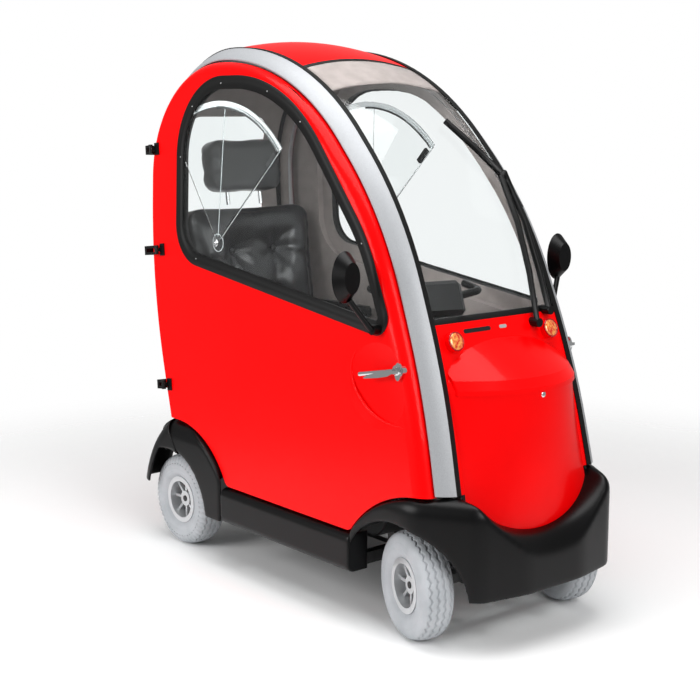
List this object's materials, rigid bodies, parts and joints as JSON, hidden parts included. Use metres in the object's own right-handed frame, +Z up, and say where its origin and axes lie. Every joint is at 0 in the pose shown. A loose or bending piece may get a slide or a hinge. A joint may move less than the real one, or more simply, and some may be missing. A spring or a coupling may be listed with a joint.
{
  "type": "enclosed mobility scooter",
  "caption": "Small four-wheeled mobility scooter with a closed cab: domed side doors with large windows, curved windscreen, bulging nose, padded seat and tiller steering.",
  "frame": {"origin": "on the ground below the middle of the overall length and width", "axes": "+X forward, +Y to the driver's left, +Z up"},
  "size_m": [1.6063, 0.94, 1.6787],
  "materials": {
    "red_gel": "gloss",
    "clear_acrylic": "clear",
    "silver_paint": "satin",
    "black_rubber": "matte",
    "black_abs": "satin",
    "black_steel": "satin",
    "chrome_plate": "polished",
    "lamp_lens": "gloss",
    "red_lens": "gloss",
    "dark_steel": "satin",
    "grey_tyre": "matte",
    "alloy": "satin",
    "black_leather": "satin"
  },
  "bodies": {
    "body": {"hoop_right": "silver_paint", "hoop_left": "silver_paint", "seals": "black_rubber", "windscreen": "clear_acrylic", "roof": "red_gel", "rear_panel": "red_gel", "rear_glass": "clear_acrylic", "tail_panel": "red_gel", "front_skirt": "black_abs", "rear_skirt": "black_abs", "sills": "black_abs", "nose_base": "red_gel", "nose_shield": "red_gel", "bonnet": "red_gel", "hinge_arms": "black_steel", "headlamps": "lamp_lens", "tail_lamps": "red_lens", "floor_pan": "dark_steel", "front_axle": "dark_steel", "chassis": "dark_steel", "transaxle": "dark_steel", "battery_box": "black_abs", "seat_cushion": "black_leather", "seat_back": "black_leather", "headrest": "black_leather", "headrest_posts": "chrome_plate", "seat_post": "dark_steel", "arm_rests": "black_leather", "wiper": "black_steel"},
    "door_right": {"door_right": "red_gel", "pane_right": "clear_acrylic", "vent_right": "clear_acrylic", "hinge_leaves_right": "black_steel", "handle_right": "chrome_plate", "mirror_right": "black_abs"},
    "knuckle_right": {"knuckle_right": "dark_steel"},
    "wheel_front_right": {"tyre_front_right": "grey_tyre", "rim_front_right": "alloy"},
    "wheel_rear_right": {"tyre_rear_right": "grey_tyre", "rim_rear_right": "alloy"},
    "door_left": {"door_left": "red_gel", "pane_left": "clear_acrylic", "vent_left": "clear_acrylic", "hinge_leaves_left": "black_steel", "handle_left": "chrome_plate", "mirror_left": "black_abs"},
    "knuckle_left": {"knuckle_left": "dark_steel"},
    "wheel_front_left": {"tyre_front_left": "grey_tyre", "rim_front_left": "alloy"},
    "wheel_rear_left": {"tyre_rear_left": "grey_tyre", "rim_rear_left": "alloy"},
    "tiller": {"tiller": "black_steel"},
    "tie_rods": {"tie_rods": "dark_steel"}
  },
  "joints": [
    {"name": "door_right", "type": "hinge", "parent": "body", "child": "door_right", "pos_m": [-0.634, -0.36243, 0.55617], "axis": [0.1173, -0.0367, -0.9924], "range_deg": [0, 75]},
    {"name": "steer_right", "type": "hinge", "parent": "body", "child": "knuckle_right", "pos_m": [0.552, -0.205, 0.155], "axis": [0, 0, 1], "range_deg": [-14, 46]},
    {"name": "spin_front_right", "type": "hinge", "parent": "knuckle_right", "child": "wheel_front_right", "pos_m": [0.5316, -0.27613, 0.155], "axis": [0.2756, 0.9613, 0], "continuous": true},
    {"name": "spin_rear_right", "type": "hinge", "parent": "body", "child": "wheel_rear_right", "pos_m": [-0.612, -0.279, 0.155], "axis": [0, 1, 0], "continuous": true},
    {"name": "door_left", "type": "hinge", "parent": "body", "child": "door_left", "pos_m": [-0.634, 0.36243, 0.55617], "axis": [-0.1173, -0.0367, 0.9924], "range_deg": [0, 75]},
    {"name": "steer_left", "type": "hinge", "parent": "body", "child": "knuckle_left", "pos_m": [0.552, 0.205, 0.155], "axis": [0, 0, 1], "range_deg": [-14, 46]},
    {"name": "spin_front_left", "type": "hinge", "parent": "knuckle_left", "child": "wheel_front_left", "pos_m": [0.5724, 0.27613, 0.155], "axis": [0.2756, 0.9613, 0], "continuous": true},
    {"name": "spin_rear_left", "type": "hinge", "parent": "body", "child": "wheel_rear_left", "pos_m": [-0.612, 0.279, 0.155], "axis": [0, 1, 0], "continuous": true},
    {"name": "tiller_turn", "type": "hinge", "parent": "body", "child": "tiller", "pos_m": [0.4, 0, 0.199], "axis": [0, 0, 1], "range_deg": [-14, 46]},
    {"name": "tie_rod_swing", "type": "hinge", "parent": "tiller", "child": "tie_rods", "pos_m": [0.33752, 0.01792, 0.199], "axis": [0, 0, 1], "range_deg": [-46, 14]}
  ],
  "couplings": [
    {"joint": "steer_right", "follows": "tiller_turn", "ratio": 1},
    {"joint": "steer_left", "follows": "tiller_turn", "ratio": 1},
    {"joint": "tie_rod_swing", "follows": "tiller_turn", "ratio": -1}
  ]
}
